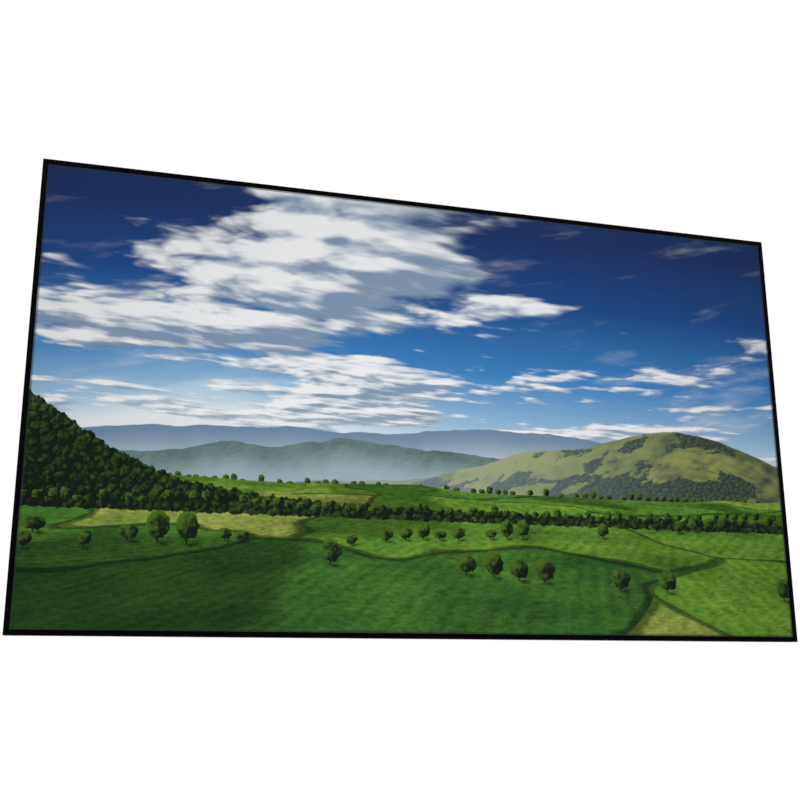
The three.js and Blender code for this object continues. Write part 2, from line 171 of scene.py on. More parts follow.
class Shader:
    """The node tree of a material or a world, written as expressions on its Values."""

    def __init__(self, name, world=False):
        self.owner = (bpy.data.worlds if world else bpy.data.materials).new(name)
        self.owner.use_nodes = True
        self.tree = self.owner.node_tree
        self.tree.nodes.clear()
        kind = "ShaderNodeOutputWorld" if world else "ShaderNodeOutputMaterial"
        self.output = self.tree.nodes.new(kind)

    def node(self, kind, settings=None, inputs=None, output=0):
        """Adds a node with its settings, and fills its sockets from Values, numbers and colours."""
        made = self.tree.nodes.new(kind)
        for key, value in (settings or {}).items():
            if key == "stops":
                ramp_stops(made.color_ramp, value)
            else:
                setattr(made, key, value)
        for key, value in (inputs or {}).items():
            socket = made.inputs[key]
            if isinstance(value, Value):
                self.tree.links.new(value.socket, socket)
            else:
                socket.default_value = value
        return Value(self, made.outputs[output])

    def other_output(self, value, name):
        """Another output of the node that a value comes from."""
        return Value(self, value.socket.node.outputs[name])

    def place(self):
        return self.node("ShaderNodeTexCoord", output="Object")

    def axes(self, vector):
        split = self.node("ShaderNodeSeparateXYZ", {}, {0: vector}).socket.node
        return [Value(self, socket) for socket in split.outputs]

    def vector(self, x=0.0, y=0.0, z=0.0):
        return self.node("ShaderNodeCombineXYZ", {}, {"X": x, "Y": y, "Z": z})

    def times(self, vector, scale):
        """The vector times a scale for each axis."""
        return self.node("ShaderNodeVectorMath", {"operation": "MULTIPLY"}, {0: vector, 1: scale})

    def drawn_out(self, along, across_scale, along_scale):
        """The place with a scale of its own along one axis, so that a noise on it runs in lines."""
        scale = tuple(along_scale if axis == along else across_scale for axis in "XYZ")
        return self.times(self.place(), scale)

    def noise(self, vector, scale, detail=2.0, rough=0.5, dimensions="3D"):
        return self.node(
            "ShaderNodeTexNoise",
            {"noise_dimensions": dimensions},
            {"Vector": vector, "Scale": scale, "Detail": detail, "Roughness": rough},
        )

    def flat_noise(self, x, y, scale, detail=2.0, rough=0.5):
        return self.noise(self.vector(x, y), scale, detail, rough, "2D")

    def cells(self, x, y, scale, settings=None, **inputs):
        """The distance to the nearest of the points strewn over a plane, one in each cell."""
        return self.node(
            "ShaderNodeTexVoronoi",
            {"voronoi_dimensions": "2D", **(settings or {})},
            {"Vector": self.vector(x, y), "Scale": scale, **inputs},
        )

    def mix(self, first, second, share):
        """The colour that goes from first to second as share goes from 0 to 1."""
        sockets = {"Factor": share, 6: first, 7: second}
        return self.node("ShaderNodeMix", {"data_type": "RGBA"}, sockets, output=2)

    def shade(self, colour, factor):
        """The colour times a grey of the given level."""
        colour = colour if isinstance(colour, Value) else colour[:3]
        return self.times(colour, self.vector(factor, factor, factor))

    def ramp(self, share, *stops):
        return self.node("ShaderNodeValToRGB", {"stops": stops}, {0: share})

    def bump(self, height, strength, distance):
        sockets = {"Height": height, "Strength": strength, "Distance": distance}
        return self.node("ShaderNodeBump", {}, sockets)

    def end(self, surface):
        """Gives the tree its surface, and returns the material or the world."""
        self.tree.links.new(surface.socket, self.output.inputs["Surface"])
        return self.owner

    def finish(self, **inputs):
        """Ends the tree in a Principled shader. Keys are socket names with _ for a space."""
        named = {key.replace("_", " "): value for key, value in inputs.items()}
        return self.end(self.node("ShaderNodeBsdfPrincipled", {}, named))


def ramp_stops(ramp, stops):
    """Gives a colour ramp these stops alone, each a place and a colour."""
    while len(ramp.elements) > 1:
        ramp.elements.remove(ramp.elements[-1])
    for i, (place, colour) in enumerate(stops):
        element = ramp.elements[0] if i == 0 else ramp.elements.new(place)
        element.position = place
        element.color = colour


def linear(hex_colour):
    """A screen colour such as 1f3a6e as linear light, with alpha 1."""
    levels = [int(hex_colour[i : i + 2], 16) / 255 for i in (0, 2, 4)]
    return (*[v / 12.92 if v <= 0.04045 else ((v + 0.055) / 1.055) ** 2.4 for v in levels], 1.0)


SHEET_WHITE = linear("e8e8e5")
# Painted shade: a dim grey rim on the picture beside the bezel, as if the bezel shaded it, and the
# rim's width
PAINTED_SHADE_WIDTH = 6.5 * MM
PAINTED_SHADE_GREY = linear("2c2f33")

# The picture on the sheet: made-up farmland under fair-weather clouds, in fields of colour and
# simple shapes. across and up are measured in picture heights, across from the middle and up from
# the bottom edge. The sun is at the left.

HORIZON = 0.40
SUN_ACROSS = -0.50
SKY_TOP = linear("1a3365")
SKY_HIGH = linear("1d4a88")
SKY_MIDDLE = linear("3a7fbf")
SKY_LOW = linear("93bddb")
SKY_FOOT = linear("e6edef")
CLOUD_LIT = linear("f4f5f5")
CLOUD_SHADED = linear("8197b0")
HAZE = linear("b9cad6")
FAR_HILL = linear("6f8aa3")
MIDDLE_HILL = linear("4c6a62")
DOWN_SUN = linear("8f9440")
DOWN_EARTH = linear("66583a")
DOWN_GRASS = linear("4f6a26")
DOWN_SHADE = linear("1e2a1c")
WOOD_SUN = linear("4a6426")
WOOD_SHADE = linear("0d1a12")
FIELD_LIGHT = linear("638a2c")
FIELD_MIDDLE = linear("45732a")
FIELD_DARK = linear("27501f")
FIELD_STRAW = linear("a39c55")
TREE_SUN = linear("4d6b22")
TREE_SHADE = linear("0b1a10")

# How thick the clouds' layer is where a cloud begins and where it is solid, and how much a cloud
# and the veil above it hide
CLOUD_EDGE = (0.335, 0.430)
CLOUD_COVER = 0.96
VEIL_COVER = 0.45

# A line of hills: its level, the seed, scale and amount of the noise along it, and its humps, each
# as its middle, width and rise
FAR_RANGE = (HORIZON + 0.022, 3.0, 1.9, 0.10, [(0.05, 0.30, 0.035)])
MIDDLE_RANGE = (HORIZON - 0.018, 9.0, 2.6, 0.10, [(-0.20, 0.26, 0.040)])
DOWN = (HORIZON - 0.085, 15.0, 3.2, 0.050, [(0.64, 0.44, 0.165), (0.22, 0.24, 0.055)])
WOODED_SLOPE = (HORIZON - 0.13, 21.0, 5.0, 0.03, [(-0.98, 0.36, 0.25)])
WOOD_FOOT = HORIZON - 0.155

# The fields: where they begin, the scale of their pattern, how close their rows are, and how much
# a hedge and the shadow of a cloud darken them
FIELDS_TOP = HORIZON - 0.085
FIELD_SCALE = 0.62
FIELD_ROWS = 52.0
HEDGE_COVER = 0.65
CLOUD_SHADOW = 0.52

# A row of trees: its height, the size of a tree, the row's seed, and the share of its cells that
# hold a tree. A near row stands on the line of the ground, and has its rise to the right too.
FAR_TREES = (HORIZON - 0.090, 0.020, 3.0, 0.75)
NEAR_GROUND = (0.0, 27.0, 1.6, 0.05, [])
NEAR_TREES = [
    (0.262, 0.0, 0.026, 11.0, 0.60),
    (0.205, 0.05, 0.040, 23.0, 0.42),
    (0.135, -0.07, 0.062, 37.0, 0.30),
]
TREE_SCATTER = 0.5


def bell(value, width):
    """A smooth hump: 1 at 0, falling to a quarter one width away."""
    return (value * value * (1 / width**2) + 1.0) ** -2.0


def edge_of(depth):
    """A crisp mask: 1 where depth is above 0."""
    return depth.step(-0.0012, 0.0012)


def relief(shader, x, y, scale, detail, rough):
    """Light on rough ground, about 0: the noise here less that a little way towards the sun."""
    here = shader.flat_noise(x, y, scale, detail, rough)
    there = shader.flat_noise(x - 0.06 / scale, y + 0.05 / scale, scale, detail, rough)
    return here - there


def canopy(shader, x, y, scale):
    """Light on tree crowns seen from afar. Each is a round cell, brighter on the sun's side of its
    middle and darker towards its rim."""
    crown = shader.cells(x, y, scale)
    middle_x, middle_y, _ = shader.axes(shader.other_output(crown, "Position"))
    slope = (middle_x - x) * (0.9 * scale) + (y - middle_y) * (0.8 * scale)
    return slope * 0.45 + 0.55 - crown * 0.45


def cloud_depth(shader, x, y):
    """How thick the clouds are: a broad noise, less the distance from round cells' middles."""
    broad = shader.flat_noise(x * 0.8, y * 1.2, 1.5, 4.0, 0.55)
    billows = shader.cells(
        x + broad * 0.5,
        y * 1.5 + broad * 0.4,
        4.2,
        {"feature": "SMOOTH_F1", "normalize": True},
        Detail=3.0,
        Roughness=0.62,
        Smoothness=0.35,
    )
    return broad - billows * 0.36


def sky(shader, across, up):
    """Blues that deepen with height, less so near the sun, then a thin veil, clouds, and haze at the
    foot. A point of the clouds' layer is as far away as one over its height. A cloud is lit where it
    is thicker than a little way towards the sun."""
    height = (up - HORIZON) * (1 / (1 - HORIZON))
    glow = bell(across - SUN_ACROSS, 0.45) * bell(height, 0.40)
    colour = shader.ramp(
        height - glow * 0.22 + 0.10,
        (0.02, SKY_FOOT),
        (0.16, SKY_LOW),
        (0.42, SKY_MIDDLE),
        (0.72, SKY_HIGH),
        (1.05, SKY_TOP),
    )
    veil = shader.flat_noise(across * 1.1 + up * 1.8, up * 7.0 - across * 1.6, 1.3, 6.0, 0.6)
    colour = shader.mix(colour, CLOUD_LIT, veil.step(0.54, 0.85) * VEIL_COVER)

    near = 1.0 / (height + 0.45)
    x, y = across * near, near * 1.7
    here = cloud_depth(shader, x, y)
    sunward = cloud_depth(shader, x - 0.035, y - 0.055)
    bank = bell(across + 0.20, 0.42) * bell(height - 0.45, 0.42) * 0.085 - 0.050
    light = (here - sunward) * 5.5 + 0.42
    white = shader.mix(CLOUD_SHADED, CLOUD_LIT, light.step(0.02, 0.85))
    colour = shader.mix(colour, white, (here + bank).step(*CLOUD_EDGE) * CLOUD_COVER)
    return shader.mix(colour, SKY_FOOT, bell(height, 0.10) * 0.55)


def crest(shader, across, level, seed, scale, amount, humps):
    """The height of a line of hills: its level, a noise along it, and smooth humps."""
    height = (shader.flat_noise(across, seed, scale, 5.0, 0.5) - 0.5) * amount + level
    for middle, width, rise in humps:
        height = height + bell(across - middle, width) * rise
    return height


def hills(shader, across, up, view):
    """Three ranges over the view, each nearer and clearer than the one behind it: a plain far one, a
    wooded one with spurs whose foot is in haze, and a down with rough grass and patches of wood.
    depth is how far a point is below a range's crest."""
    depth = crest(shader, across, *FAR_RANGE) - up
    view = shader.mix(view, shader.mix(HAZE, FAR_HILL, depth.step(0.10, 0.0)), edge_of(depth))

    depth = crest(shader, across, *MIDDLE_RANGE) - up
    wooded = canopy(shader, across, up * 2.2, 62.0)
    spurs = relief(shader, across + depth * 1.1, depth * 1.5, 5.0, 5.0, 0.55)
    colour = shader.shade(MIDDLE_HILL, wooded * 0.35 + spurs * 4.0 + 0.82)
    colour = shader.mix(colour, HAZE, depth.step(0.0, 0.085) * 0.55 + 0.12)
    view = shader.mix(view, colour, edge_of(depth))

    depth = crest(shader, across, *DOWN) - up
    fold = across + depth * 0.9
    plots = fold * 1.6, depth * 5.5 + across * 0.8
    plot = shader.cells(*plots, 2.3, {"distance": "CHEBYCHEV"})
    chance, _, _ = shader.axes(shader.other_output(plot, "Color"))
    light = relief(shader, fold, depth * 1.6, 4.5, 6.0, 0.55) * 3.2 + 0.60 - (across - 0.50) * 0.55
    grass = shader.ramp(
        chance * 0.75 + shader.flat_noise(*plots, 7.0, 5.0, 0.65) * 0.35,
        (0.20, DOWN_EARTH),
        (0.38, DOWN_GRASS),
        (0.75, DOWN_SUN),
    )
    ground = shader.mix(DOWN_SHADE, grass, light.step(0.02, 0.85))
    leaf = shader.flat_noise(across, up, 150.0, 4.0, 0.65) - 0.5
    leaves = canopy(shader, across + leaf * 0.005, up * 1.3 + leaf * 0.006, 80.0) + leaf * 1.4
    wood = shader.mix(WOOD_SHADE, WOOD_SUN, leaves.step(0.10, 1.1))
    wooded = shader.flat_noise(fold, depth * 2.2, 5.0, 5.0, 0.6) + depth * 0.35
    ground = shader.mix(ground, wood, wooded.step(0.52, 0.55))
    ground = shader.mix(ground, HAZE, (across - 0.75).step(0.0, -1.0) * 0.30 + 0.06)
    return shader.mix(view, ground, edge_of(depth))


def tree_row(shader, across, up, foot, size, seed, cover, view):
    """A row of round-headed trees over the view. Each stands in its own cell along the row, where a
    number drawn for the cell is under cover, and is an ellipse on a short trunk with ragged edges,
    lit on the sun's side. The ellipse draws in where its cell ends, so that a crown is never cut off
    straight. aside and rise are a point's place from the tree's foot, in sizes of a tree."""
    along = across * (1 / size) + seed
    spots = {"W": along, "Scale": 1.0, "Randomness": TREE_SCATTER}
    cell = shader.node("ShaderNodeTexVoronoi", {"voronoi_dimensions": "1D"}, spots)
    border = shader.node(
        "ShaderNodeTexVoronoi", {"voronoi_dimensions": "1D", "feature": "DISTANCE_TO_EDGE"}, spots
    )
    chance, tallness, _ = shader.axes(shader.other_output(cell, "Color"))
    stands = (chance - cover).step(0.0001, -0.0001)
    aside = along - shader.other_output(cell, "W")
    rise = (up - foot) * (1 / size)
    tall = tallness * 0.65 + 0.55
    lift = rise * 2.4 / tall - 1.3
    ragged = shader.flat_noise(across * (1 / size), up * (1 / size), 3.2, 4.0, 0.7) - 0.5
    depth = 1.0 + ragged * 1.8 - aside * aside * 5.5 - lift * lift - bell(border, 0.09) * 1.1
    light = 0.45 - aside * 1.1 + lift * 0.40 + ragged * 2.2
    crown = shader.mix(TREE_SHADE, TREE_SUN, light.step(0.05, 1.0))
    shadow = bell(rise + 0.01, 0.09) * bell(aside - 0.20, 0.26)
    trunk = aside.size().step(0.045, 0.020) * rise.step(-0.02, 0.01) * lift.step(0.1, -0.1)
    view = shader.mix(view, TREE_SHADE, shadow.most(trunk) * stands * 0.9)
    return shader.mix(view, crown, depth.step(0.0, 0.10) * stands)


def farmland(shader, across, up, view):
    """Fields on rolling ground over the view. A point of the ground is as far away as one over its
    drop below the horizon. Each field has its own colour and its own direction of rows, a dark hedge
    runs round it, and the clouds throw their shadows on it."""
    swell = shader.flat_noise(across, up * 1.5, 1.3, 3.0) - 0.5
    drop = (HORIZON + 0.03 - up + swell * 0.07).most(0.03)
    away = 1.0 / drop
    x, y = across * away, away
    warp = shader.flat_noise(x, y, 0.35, 2.0)
    plots = x * 0.42 + warp * 1.6, y * 0.60 + warp
    field = shader.cells(*plots, FIELD_SCALE)
    border = shader.cells(*plots, FIELD_SCALE, {"feature": "DISTANCE_TO_EDGE"})
    chance, heading, _ = shader.axes(shader.other_output(field, "Color"))
    patchy = shader.flat_noise(x, y * 1.6, 1.1, 5.0, 0.6)
    colour = shader.ramp(
        chance * 0.62 + patchy * 0.42,
        (0.22, FIELD_DARK),
        (0.42, FIELD_MIDDLE),
        (0.62, FIELD_LIGHT),
        (0.92, FIELD_STRAW),
    )
    turn = heading * 1.1 + 0.2
    rows = ((x * turn.cosine() - y * turn.sine()) * FIELD_ROWS).sine() * away.step(8.0, 3.0)
    grass = shader.flat_noise(across * 1.8, up * 5.0, 30.0, 6.0, 0.7)
    rolling = relief(shader, across, up * 2.2, 3.0, 4.0, 0.5)
    light = rows * 0.11 + grass * 2.0 + rolling * 2.2 + 0.10
    clouded = shader.flat_noise(x * 0.5, y * 0.42 + 3.1, 0.8, 2.0).step(0.47, 0.60)
    colour = shader.shade(colour, light * (1.0 - clouded * CLOUD_SHADOW))
    hedge = (border + (patchy - 0.5) * 0.05).step(0.030, 0.012)
    colour = shader.mix(colour, TREE_SHADE, hedge * HEDGE_COVER)
    return shader.mix(view, colour, edge_of(FIELDS_TOP + swell * 0.06 - up))


def wooded_slope(shader, across, up, view):
    """A wooded slope over the view, from its crest down to its foot, both ragged. It is darker the
    farther below its crest."""
    depth = crest(shader, across, *WOODED_SLOPE) - up
    leaf = shader.flat_noise(across, up, 110.0, 4.0, 0.65) - 0.5
    crowns = across + leaf * 0.006, up * 1.25 + depth * 0.2 + leaf * 0.008
    ground = relief(shader, across, up, 6.0, 4.0, 0.6)
    light = canopy(shader, *crowns, 52.0) + leaf * 1.5 - depth + ground * 1.6
    wood = shader.mix(WOOD_SHADE, WOOD_SUN, light.step(0.15, 1.15))
    ragged = (shader.flat_noise(across, 5.0, 52.0, 4.0, 0.6) - 0.5) * 0.035
    inside = (depth + ragged).least(up - WOOD_FOOT + ragged * 0.5)
    return shader.mix(view, wood, edge_of(inside))


def picture(shader, x, z):
    """The landscape's colour at a point of the sheet's front, from the back of the view forwards. It
    darkens a little towards the corners."""
    across = x * (1 / PICTURE_HEIGHT)
    up = z * (1 / PICTURE_HEIGHT) + 0.5
    view = hills(shader, across, up, sky(shader, across, up))
    view = tree_row(shader, across, up, *FAR_TREES, view)
    view = farmland(shader, across, up, view)
    view = wooded_slope(shader, across, up, view)
    ground = crest(shader, across, *NEAR_GROUND)
    for height, rise, *trees in NEAR_TREES:
        view = tree_row(shader, across, up, ground + across * rise + height, *trees, view)
    corners = across * across * 0.26 + (up - 0.5) * (up - 0.5) * 0.45
    return shader.shade(view, 1.0 - corners)


# How often the finest noise of each finish repeats in a metre, across the bar or rod if it has lines
THREADS = 900.0
BACKING_GRAIN = 700.0
DIE_LINES = 900.0
PLATING_GRAIN = 900.0
ORANGE_PEEL = 420.0
GLASS_STRANDS = 2500.0
SPARK_TEXTURE = 1500.0


def sheet_front():
    """Matt white fabric that carries the picture up to a painted shade beside the bezel, a dim rim
    where the bezel would shade it, and is bare round the edges."""
    shader = Shader("sheet_front")
    x, _, z = shader.axes(shader.place())
    view = picture(shader, x, z)
    inside = (PICTURE_WIDTH / 2 - x.size()).least(PICTURE_HEIGHT / 2 - z.size())
    # Painted shade: the picture turns towards grey within the rim's width of the bezel
    view = shader.mix(view, PAINTED_SHADE_GREY, inside.step(PAINTED_SHADE_WIDTH, PAINTED_SHADE_WIDTH / 2) * 0.62)
    weave = shader.noise(shader.place(), THREADS, 3.0)
    return shader.finish(
        Base_Color=shader.mix(SHEET_WHITE, view, inside.step(-BEZEL / 2 - MM, -BEZEL / 2)),
        Roughness=0.85,
        Specular_IOR_Level=0.1,
        Normal=shader.bump(weave, 0.15, 0.05 * MM),
    )


def sheet_white():
    """The bare fabric of the wrapped edges and the rod pockets."""
    shader = Shader("sheet_white")
    weave = shader.noise(shader.place(), THREADS, 3.0)
    return shader.finish(
        Base_Color=shader.mix(linear("dcdcd8"), SHEET_WHITE, weave),
        Roughness=0.85,
        Specular_IOR_Level=0.2,
        Normal=shader.bump(weave, 0.2, 0.05 * MM),
    )


def sheet_back():
    """The sheet's black backing."""
    shader = Shader("sheet_back")
    weave = shader.noise(shader.place(), BACKING_GRAIN, 4.0, 0.6)
    return shader.finish(
        Base_Color=shader.mix(linear("141416"), linear("26272a"), weave),
        Roughness=0.8,
        Specular_IOR_Level=0.3,
        Normal=shader.bump(weave, 0.3, 0.1 * MM),
    )


def anodised(name, dark, light, roughness, along):
    """Anodised extrusion: die lines along the bar, and a finish that is a little uneven. along is
    the bar's axis."""
    shader = Shader(name)
    lines = shader.noise(shader.drawn_out(along, DIE_LINES, 0.3), 1.0, 2.0)
    cloud = shader.noise(shader.place(), 14.0, 4.0, 0.6)
    return shader.finish(
        Base_Color=shader.mix(dark, light, cloud),
        Metallic=1.0,
        Roughness=lines * 0.12 + cloud * 0.06 + (roughness - 0.09),
        Normal=shader.bump(lines, 0.15, 0.05 * MM),
    )


def plated(name, dark, light, roughness):
    """Zinc-plated steel: a cool grey with blotches of passivation and a faint grain."""
    shader = Shader(name)
    place = shader.place()
    cloud = shader.noise(place, 60.0, 5.0, 0.6)
    grain = shader.noise(place, PLATING_GRAIN, 2.0)
    return shader.finish(
        Base_Color=shader.mix(dark, light, cloud),
        Metallic=1.0,
        Roughness=cloud * 0.15 + grain * 0.08 + roughness,
        Normal=shader.bump(grain, 0.1, 0.03 * MM),
    )


def powder_coated():
    """Black powder coat with its fine orange-peel surface."""
    shader = Shader("powder_coat")
    peel = shader.noise(shader.place(), ORANGE_PEEL, 3.0, 0.6)
    return shader.finish(
        Base_Color=shader.mix(linear("0c0c0d"), linear("191a1b"), peel),
        Roughness=peel * 0.2 + 0.42,
        Normal=shader.bump(peel, 0.4, 0.15 * MM),
    )


def glass_fibre(name, along):
    """Resin-bound glass fibre: straw colour with fine strands along the rod."""
    shader = Shader(name)
    strands = shader.noise(shader.drawn_out(along, GLASS_STRANDS, 60.0), 1.0, 4.0, 0.7)
    return shader.finish(
        Base_Color=shader.mix(linear("b9a56b"), linear("e6dcb4"), strands),
        Roughness=0.35,
        Coat_Weight=0.3,
    )


def moulded_black():
    """Black moulded plastic with a fine spark texture."""
    shader = Shader("moulded_black")
    spark = shader.noise(shader.place(), SPARK_TEXTURE, 2.0)
    return shader.finish(
        Base_Color=linear("101011"),
        Roughness=spark * 0.15 + 0.45,
        Normal=shader.bump(spark, 0.3, 0.05 * MM),
    )


def mill_finish():
    """Plain aluminium tube as it comes from the die, with lines along Z."""
    shader = Shader("mill_finish")
    lines = shader.noise(shader.drawn_out("Z", DIE_LINES, 0.5), 1.0, 3.0, 0.6)
    cloud = shader.noise(shader.place(), 20.0, 4.0, 0.6)
    return shader.finish(
        Base_Color=shader.mix(linear("a7aaad"), linear("c9cccf"), lines),
        Metallic=1.0,
        Roughness=lines * 0.15 + cloud * 0.15 + 0.22,
        Normal=shader.bump(lines, 0.2, 0.04 * MM),
    )


def new_piece(name, points, faces, materials, stands_for, indices=None, smooth=False):
    """A mesh object in the row frame, riding on the root body."""
    mesh = bpy.data.meshes.new(name)
    mesh.from_pydata(points.tolist(), [], [list(face) for face in faces])
    for material in materials:
        mesh.materials.append(material)
    if indices is not None:
        mesh.polygons.foreach_set("material_index", indices)
    mesh.polygons.foreach_set("use_smooth", np.full(len(faces), smooth))
    mesh.update()
    piece = bpy.data.objects.new(name, mesh)
    bpy.context.scene.collection.objects.link(piece)
    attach(piece, "root")
    if stands_for:
        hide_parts(*stands_for)
    return piece


class Edge:
    """An edge of the screen with axes of its own: along runs with the edge from its middle, u goes
    in from the outer edge and v back from the bezel's front. reach is how far the edge lies from the
    screen's middle. The axes are turned about Y by quarter turns."""

    def __init__(self, name, quarter_turns, half_length, reach):
        self.name = name
        self.half_length = half_length
        self.reach = reach
        angle = quarter_turns * np.pi / 2
        self.cos, self.sin = round(np.cos(angle)), round(np.sin(angle))

    def to_row(self, along, u, v):
        """The row-frame point of (along, u, v): z is u less the reach, then x and z turn about Y."""
        along, u, v = np.broadcast_arrays(along, u, v)
        z = u - self.reach
        x, z = along * self.cos + z * self.sin, z * self.cos - along * self.sin
        return np.stack([x, v + FRONT, z], axis=-1)


EDGES = [
    Edge("bottom", 0, outer_half[0], outer_half[2]),
    Edge("top", 2, outer_half[0], outer_half[2]),
    Edge("left", 1, outer_half[2], outer_half[0]),
    Edge("right", -1, outer_half[2], outer_half[0]),
]
BOTTOM, _, LEFT, _ = EDGES


def arc(cu, cv, radius, start, end, count):
    """Points (u, v) on a circle, from the start to the end angle in degrees, in count steps."""
    angle = np.radians(np.linspace(start, end, count + 1))
    return np.stack([cu + radius * np.cos(angle), cv + radius * np.sin(angle)], axis=1)


def springs_along(edge):
    """The CAD springs of an edge, and where each sits along it. They stand evenly about the edge's
    middle, and a spring's box reaches a little farther to one side of it, so a place is half the way
    from the box of its mirror image to its own."""
    names = [name for name in sorted(nodes) if name.startswith(f"spring_{edge.name}_")]
    middles = np.array([(np.array(low) + np.array(high)) / 2 for low, high in map(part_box, names)])
    along = middles[:, 0] * edge.cos - middles[:, 2] * edge.sin
    return names, (along - along[::-1]) / 2


# The sheet's middle surface and the rod, as u and v of an edge
LAYER = SHEET_THICKNESS / 2
sheet_low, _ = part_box("screen_sheet")
rod_low, rod_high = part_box("tension_rod_left")
SHEET_U = sheet_low.x - outer_low[0] + LAYER
SHEET_V = sheet_low.y - FRONT + LAYER
ROD_U = (rod_low.x + rod_high.x) / 2 - outer_low[0]
ROD_V = (rod_low.y + rod_high.y) / 2 - FRONT
POCKET_RADIUS = ROD_RADIUS + FIT_GAP + LAYER
NOSE_BEND = NOSE_RADIUS + FIT_GAP + LAYER
REAR_BEND = REAR_RADIUS + FIT_GAP + LAYER

# The sheet's mesh
BEND_STEPS = 8
POCKET_STEPS = 26
COLUMN_SPACING = 40 * MM
COLUMNS_FROM_END = 60 * MM
COLUMNS_FROM_NOTCH = 4 * MM


def flap_profile():
    """The middle of the sheet where it wraps an edge, as points (u, v): a quarter turn round the
    frame's nose, straight down its side, a quarter turn to its rear, and a pocket that rolls nearly
    all the way round the rod. Also the index of the point where the notches start."""
    rear_v = ROD_V - POCKET_RADIUS
    nose = arc(SHEET_U + NOSE_BEND, SHEET_V + NOSE_BEND, NOSE_BEND, 270, 180, BEND_STEPS)
    corner = arc(SHEET_U + REAR_BEND, rear_v - REAR_BEND, REAR_BEND, 180, 90, BEND_STEPS)
    notch_start = [[ROD_U - POCKET_RADIUS - LAYER - POCKET_NOTCH_MARGIN, rear_v]]
    pocket = arc(ROD_U, ROD_V, POCKET_RADIUS, 270, 270 + POCKET_ROLL_DEG, POCKET_STEPS)
    return np.concatenate([nose, corner, notch_start, pocket]), len(nose) + len(corner)


def grid_faces(rows, columns, start=0):
    """Quads of a grid of points numbered row by row, which face along the rows' direction times the
    columns'."""
    index = start + np.arange(rows * columns).reshape(rows, columns)
    corners = [index[:-1, :-1], index[1:, :-1], index[1:, 1:], index[:-1, 1:]]
    return np.stack(corners, axis=-1).reshape(-1, 4)


def sheet_columns(edge):
    """Places along an edge where the sheet's mesh has lines: evenly, and at each side of a notch."""
    limit = edge.half_length - COLUMNS_FROM_END
    regular = np.linspace(-limit, limit, round(2 * limit / COLUMN_SPACING))
    _, places = springs_along(edge)
    notches = np.add.outer(places, [-POCKET_NOTCH / 2, POCKET_NOTCH / 2]).ravel()
    near = np.abs(regular[:, None] - notches).min(axis=1) < COLUMNS_FROM_NOTCH
    return np.sort(np.concatenate([regular[~near], notches]))


def merged(points, faces):
    """The same faces on points with the ones that share a place, to a thousandth of a millimetre,
    made one."""
    places = np.round(points, 6)
    _, first, where = np.unique(places, axis=0, return_index=True, return_inverse=True)
    return points[first], where.reshape(-1)[faces]


def make_sheet():
    """The sheet's middle surface, given its thickness by Solidify. The panel is a flat grid, and
    each flap is its profile carried along its edge, with mitred ends and with the faces of the
    pocket left out at the notches. The panel's faces have material 0 and the flaps' 2, and Solidify
    gives their rear sides the next one."""
    profile, notch_from = flap_profile()
    u, v = profile[:, :1], profile[:, 1:]
    panel_u = profile[0, 0]
    corner_cut = np.where(np.arange(len(u)) > 0, SHEET_CORNER_CUT, 0.0)[:, None]
    point_sets, face_sets, kinds = [], [], []
    count = 0
    for edge in EDGES:
        columns = sheet_columns(edge)
        end = edge.half_length - u - corner_cut
        inner = np.broadcast_to(columns, (len(u), len(columns)))
        along = np.hstack([-end, inner, end])
        faces = grid_faces(*along.shape, start=count)
        row, column = np.divmod(np.arange(len(faces)), along.shape[1] - 1)
        middle = (along[0, :-1] + along[0, 1:])[column] / 2
        _, places = springs_along(edge)
        in_notch = np.abs(middle[:, None] - places).min(axis=1) < POCKET_NOTCH / 2
        faces = faces[~(in_notch & (row >= notch_from))]
        point_sets.append(edge.to_row(along, u, v).reshape(-1, 3))
        face_sets.append(faces)
        kinds.append(np.full(len(faces), 2))
        count += along.size
    half_width, _, half_height = outer_half - panel_u
    across = np.concatenate([[-half_width], sheet_columns(BOTTOM), [half_width]])
    upward = np.concatenate([[-half_height], sheet_columns(LEFT), [half_height]])
    x, z = np.meshgrid(across, upward, indexing="ij")
    point_sets.append(np.stack([x, np.full(x.shape, FRONT + SHEET_V), z], axis=-1).reshape(-1, 3))
    face_sets.append(grid_faces(*x.shape, start=count))
    kinds.append(np.zeros(len(face_sets[-1]), int))
    points, faces = merged(np.concatenate(point_sets), np.concatenate(face_sets))
    bare = sheet_white()
    back = sheet_back()
    sheet = new_piece(
        "projection_sheet",
        points,
        faces,
        [sheet_front(), back, bare, back],
        ["screen_sheet"],
        indices=np.concatenate(kinds),
    )
    solid = sheet.modifiers.new("thickness", "SOLIDIFY")
    solid.thickness = SHEET_THICKNESS
    solid.offset = 0
    solid.material_offset = 1
    run = np.linalg.norm(np.diff(profile, axis=0), axis=1).sum()
    width, length = 2 * (outer_half[[0, 2]] - panel_u + run)
    width * length - 4 * run * run


